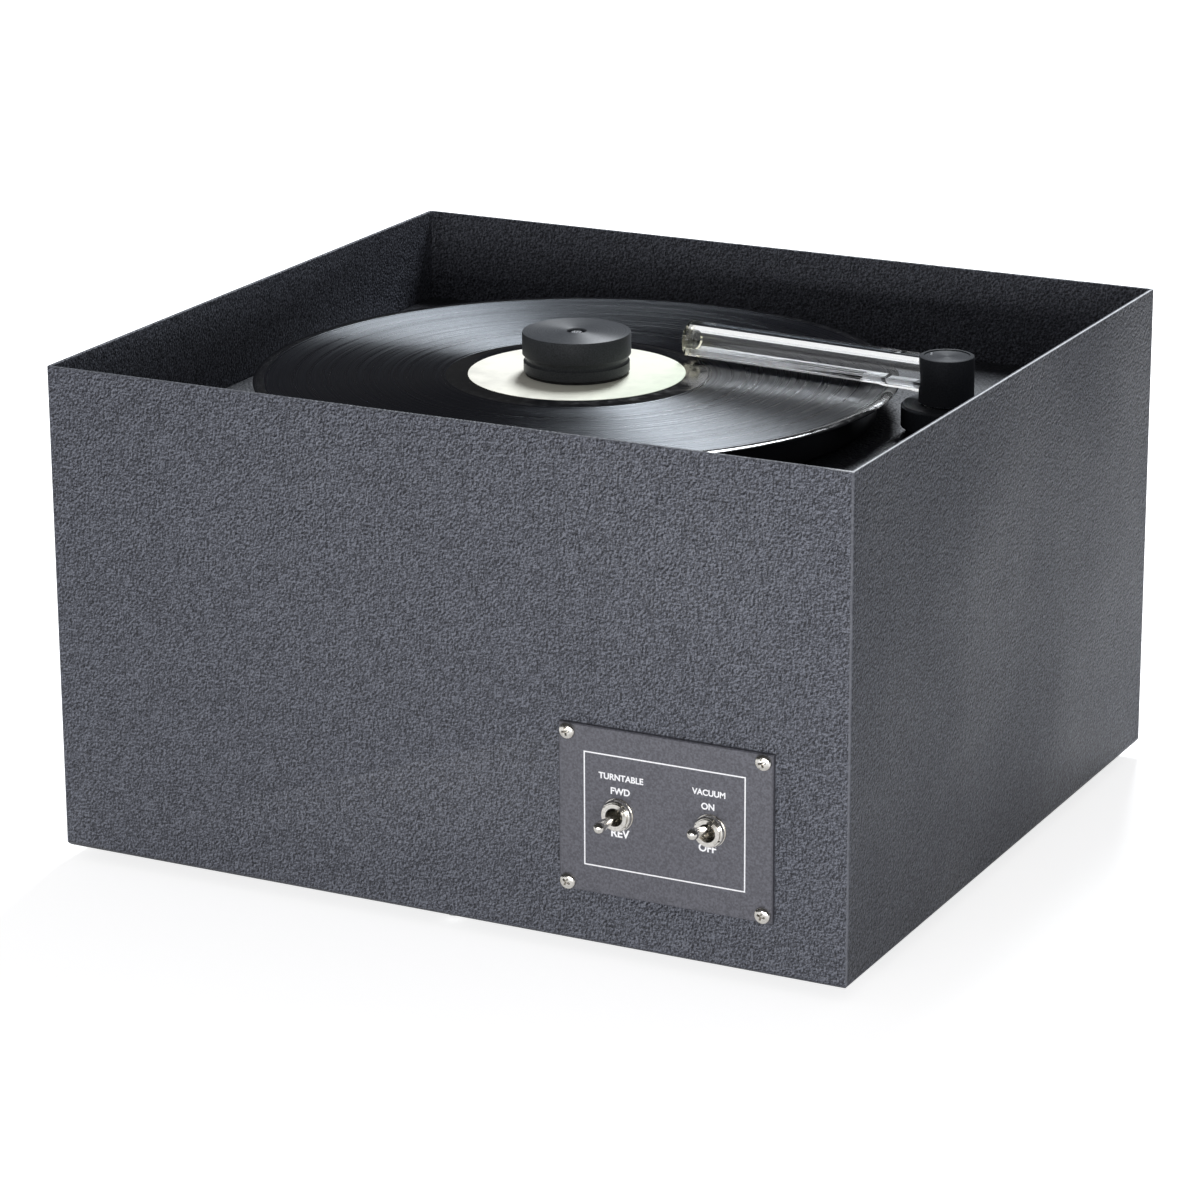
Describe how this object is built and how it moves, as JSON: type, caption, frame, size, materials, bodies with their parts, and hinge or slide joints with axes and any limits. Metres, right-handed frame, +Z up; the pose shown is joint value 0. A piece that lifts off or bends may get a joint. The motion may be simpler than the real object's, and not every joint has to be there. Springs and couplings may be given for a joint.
{
  "type": "record cleaning machine",
  "caption": "Open-topped steel case with a sunken motor-driven platter, screw-down record clamp, swivelling clear vacuum tube, and toggle switches on a front plate.",
  "frame": {"origin": "middle of the overall box, on the plane the feet stand on", "axes": "+X to the right as seen from the control plate, +Y to the back, +Z up"},
  "size_m": [0.394, 0.401, 0.235],
  "materials": {
    "powder_coat": "textured powder coat",
    "plate_coat": "smooth satin coat",
    "bright_nickel": "bright plated",
    "zinc_steel": "zinc plated",
    "bare_steel": "machined",
    "foot_rubber": "matte",
    "hose_rubber": "matte",
    "black_plastic": "satin, turned",
    "moulded_plastic": "moulded",
    "clear_acrylic": "clear, polished",
    "clear_plug": "clear, slightly yellow",
    "velvet": "short pile",
    "tank_plastic": "moulded",
    "black_platter": "black anodised, turned",
    "cork": "pressed cork",
    "vinyl": "pressed, grooved",
    "label_paper": "uncoated",
    "gear_brass": "cut",
    "copper_coil": "wound, taped",
    "core_iron": "laminated",
    "cast_aluminium": "cast",
    "cream_plastic": "moulded",
    "loom_sleeve": "braided sleeve"
  },
  "bodies": {
    "chassis": {"case_shell": "powder_coat", "base_plate": "powder_coat", "deck_plate": "powder_coat", "control_plate": "plate_coat", "base_screws": "zinc_steel", "deck_screws": "zinc_steel", "motor_screws": "zinc_steel", "plate_screws": "bright_nickel", "switch_nuts": "bright_nickel", "toggle_switches": "bright_nickel", "inlet_screws": "zinc_steel", "inlet_pins": "bright_nickel", "feet": "foot_rubber", "collar_gasket": "foot_rubber", "blower_mount": "foot_rubber", "swivel_collar": "black_plastic", "collar_nut": "zinc_steel", "float_spring": "bare_steel", "suction_hose": "hose_rubber", "blower_hose": "hose_rubber", "collection_tank": "tank_plastic", "tank_lid": "tank_plastic", "blower_frame": "cast_aluminium", "blower_field": "core_iron", "fan_housing": "zinc_steel", "blower_inlet": "cast_aluminium", "gearbox_plates": "zinc_steel", "gearbox_pillars": "bare_steel", "motor_can": "zinc_steel", "motor_coil": "copper_coil", "power_inlet": "moulded_plastic", "terminal_block": "cream_plastic", "motor_capacitor": "cast_aluminium", "wiring_loom": "loom_sleeve", "drain_valve": "gear_brass"},
    "platter": {"output_shaft": "bare_steel", "output_gear": "gear_brass", "spindle_hub": "bare_steel", "spindle": "bare_steel", "platter": "black_platter", "platter_mat": "cork", "record": "vinyl", "record_label": "label_paper"},
    "gear_cluster": {"gear_cluster": "gear_brass"},
    "motor_rotor": {"motor_rotor": "gear_brass"},
    "clamp_foot": {"clamp_washer": "foot_rubber"},
    "clamp_knob": {"clamp_knob": "black_plastic"},
    "float_seat": {"thrust_washer": "bare_steel"},
    "tube_arm": {"swivel_post": "black_plastic", "retaining_ring": "bare_steel", "tube_set_screw": "zinc_steel", "vacuum_tube": "clear_acrylic", "tube_plug": "clear_plug", "velvet_lips": "velvet"},
    "turntable_lever": {"turntable_lever": "bright_nickel"},
    "vacuum_lever": {"vacuum_lever": "bright_nickel"},
    "blower_rotor": {"blower_armature": "core_iron", "blower_impeller": "cast_aluminium"},
    "fuse_drawer": {"fuse_drawer": "moulded_plastic"},
    "drain_lever": {"valve_lever": "moulded_plastic"}
  },
  "joints": [
    {"name": "platter_spin", "type": "hinge", "parent": "chassis", "child": "platter", "pos_m": [-0.024, 0.005, 0.1905], "axis": [0, 0, 1], "continuous": true},
    {"name": "gear_cluster_spin", "type": "hinge", "parent": "chassis", "child": "gear_cluster", "pos_m": [0.00604, 0.005, 0.16], "axis": [0, 0, 1], "continuous": true},
    {"name": "motor_rotor_spin", "type": "hinge", "parent": "chassis", "child": "motor_rotor", "pos_m": [0.03008, 0.005, 0.14], "axis": [0, 0, 1], "continuous": true},
    {"name": "clamp_lift", "type": "slide", "parent": "platter", "child": "clamp_foot", "axis": [0, 0, 1], "range_m": [0, 0.0127]},
    {"name": "clamp_turn", "type": "hinge", "parent": "clamp_foot", "child": "clamp_knob", "pos_m": [-0.024, 0.005, 0.2191], "axis": [0, 0, 1], "range_deg": [0, 3600]},
    {"name": "tube_float", "type": "slide", "parent": "chassis", "child": "float_seat", "axis": [0, 0, 1], "range_m": [-0.001, 0], "stiffness_N_per_m": 400, "springref_m": 0.004, "deforming": ["float_spring"]},
    {"name": "tube_swivel", "type": "hinge", "parent": "float_seat", "child": "tube_arm", "pos_m": [0.146, 0.0439, 0.2174], "axis": [0, 0, 1], "range_deg": [-55, 95]},
    {"name": "turntable_toggle", "type": "hinge", "parent": "chassis", "child": "turntable_lever", "pos_m": [0.09, -0.1755, 0.0695], "axis": [1, 0, 0], "range_deg": [-11, 11]},
    {"name": "vacuum_toggle", "type": "hinge", "parent": "chassis", "child": "vacuum_lever", "pos_m": [0.134, -0.1755, 0.0695], "axis": [1, 0, 0], "range_deg": [0, 22]},
    {"name": "blower_spin", "type": "hinge", "parent": "chassis", "child": "blower_rotor", "pos_m": [-0.112, -0.072, 0.06], "axis": [0, 0, 1], "continuous": true},
    {"name": "fuse_drawer_slide", "type": "slide", "parent": "chassis", "child": "fuse_drawer", "axis": [0, 1, 0], "range_m": [0, 0.015]},
    {"name": "drain_lever_turn", "type": "hinge", "parent": "chassis", "child": "drain_lever", "pos_m": [0.11, 0.184, 0.022], "axis": [0, 0, 1], "range_deg": [0, 90]}
  ],
  "couplings": [
    {"joint": "gear_cluster_spin", "follows": "platter_spin", "ratio": -4},
    {"joint": "motor_rotor_spin", "follows": "platter_spin", "ratio": 16},
    {"joint": "clamp_turn", "follows": "clamp_lift", "rad_per_m": 4947.4}
  ]
}
